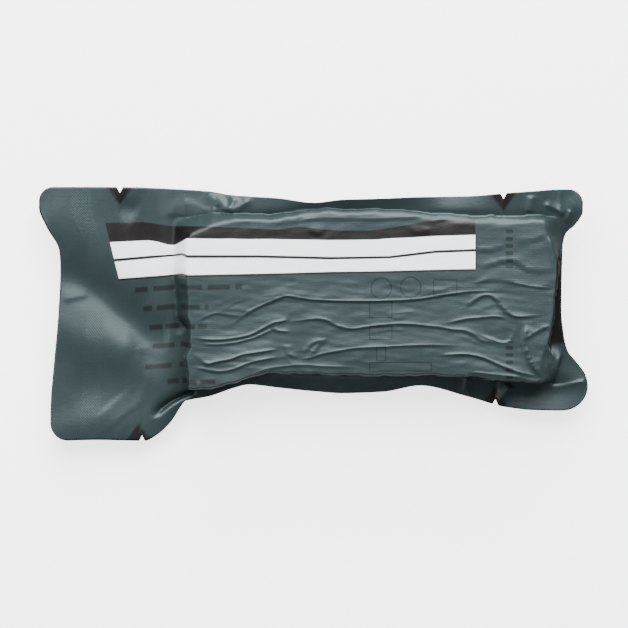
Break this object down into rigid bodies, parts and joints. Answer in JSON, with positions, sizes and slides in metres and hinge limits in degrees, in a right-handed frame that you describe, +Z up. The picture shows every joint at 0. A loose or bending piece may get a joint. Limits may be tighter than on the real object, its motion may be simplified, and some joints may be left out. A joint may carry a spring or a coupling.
{
  "type": "vacuum-packed emergency trauma bandage",
  "caption": "Wound trauma bandage roll, flattened and vacuum packed in a heat-sealed laminate pouch with a wide tear flap, tear notches and a bare label panel.",
  "frame": {"origin": "on the ground under the middle of the pouch's outline", "axes": "+X along the roll, from the wide flap to the end with the two ears; +Y across the pouch, towards the narrow seal above the label; +Z up, out of the labelled front film"},
  "size_m": [0.228, 0.1056, 0.0301],
  "materials": {
    "film": "satin grey-green laminate",
    "gauze": "woven off-white"
  },
  "bodies": {
    "root": {"front_film": "film", "back_film": "film", "bandage_roll": "gauze"}
  },
  "joints": []
}
